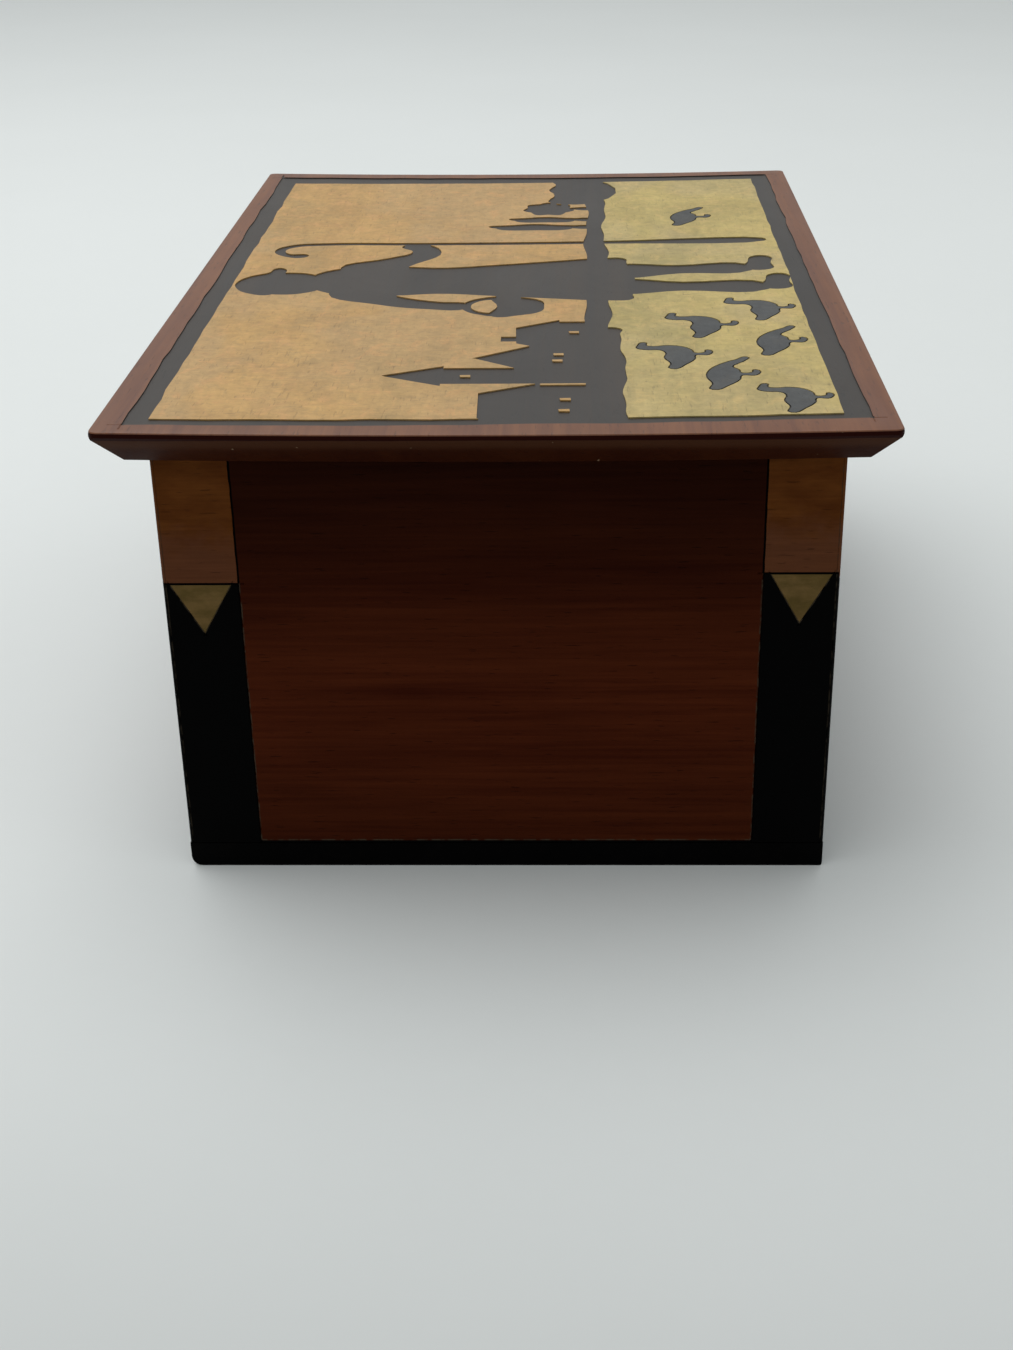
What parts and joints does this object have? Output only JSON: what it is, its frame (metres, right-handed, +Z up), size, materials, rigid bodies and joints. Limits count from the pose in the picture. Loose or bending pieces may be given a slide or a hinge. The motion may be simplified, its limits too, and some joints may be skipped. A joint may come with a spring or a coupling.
{
  "type": "wooden puzzle box",
  "caption": "Wooden casket with an overhanging bevelled lid on rear hinges, a sliding base over a hidden compartment, and a hidden bolt that locks the lid.",
  "frame": {"origin": "centre of the underside of the sliding base, on the surface the box stands on", "axes": "+X to the front of the box, where the lid opens; +Y along the box to its right end seen from the pictured end; +Z up; the hinges are on the -X side"},
  "size_m": [0.152, 0.234, 0.1],
  "materials": {
    "stained_lid": "mahogany stain with incised and stained picture, satin polish",
    "stained_walls": "mahogany stain with ebonised posts, satin polish",
    "ebonised_base": "black stain, satin polish",
    "pale_wood": "bare pale wood, matt",
    "beech": "bare beech, matt",
    "brass": "dulled brass, satin"
  },
  "bodies": {
    "carcass": {"left_end_board": "stained_walls", "right_end_board": "stained_walls", "front_board": "stained_walls", "back_board": "stained_walls", "false_floor": "pale_wood", "front_lining": "pale_wood", "lock_cap": "pale_wood", "upper_lock_guides": "beech", "lower_lock_guides": "beech", "left_hinge_body_leaf": "brass", "left_hinge_pin": "brass", "right_hinge_body_leaf": "brass", "right_hinge_pin": "brass", "hinge_body_screws": "brass"},
    "lid": {"lid_board": "stained_lid", "lid_keeper": "brass", "keeper_screws": "brass", "left_hinge_lid_leaf": "brass", "right_hinge_lid_leaf": "brass", "hinge_lid_screws": "brass"},
    "bolt": {"lock_beam": "beech", "lock_stem": "beech", "lock_hook": "brass", "lock_peg": "beech"},
    "base": {"base_board": "ebonised_base", "front_base_rail": "beech", "back_base_rail": "beech", "rail_screws": "brass"}
  },
  "joints": [
    {"name": "lid_hinge", "type": "hinge", "parent": "carcass", "child": "lid", "pos_m": [-0.068, 0, 0.092], "axis": [0, -1, 0], "range_deg": [0, 108]},
    {"name": "base_slide", "type": "slide", "parent": "carcass", "child": "base", "axis": [0, 1, 0], "range_m": [0, 0.06]},
    {"name": "bolt_slide", "type": "slide", "parent": "carcass", "child": "bolt", "axis": [0, 1, 0], "range_m": [0, 0.008]}
  ]
}
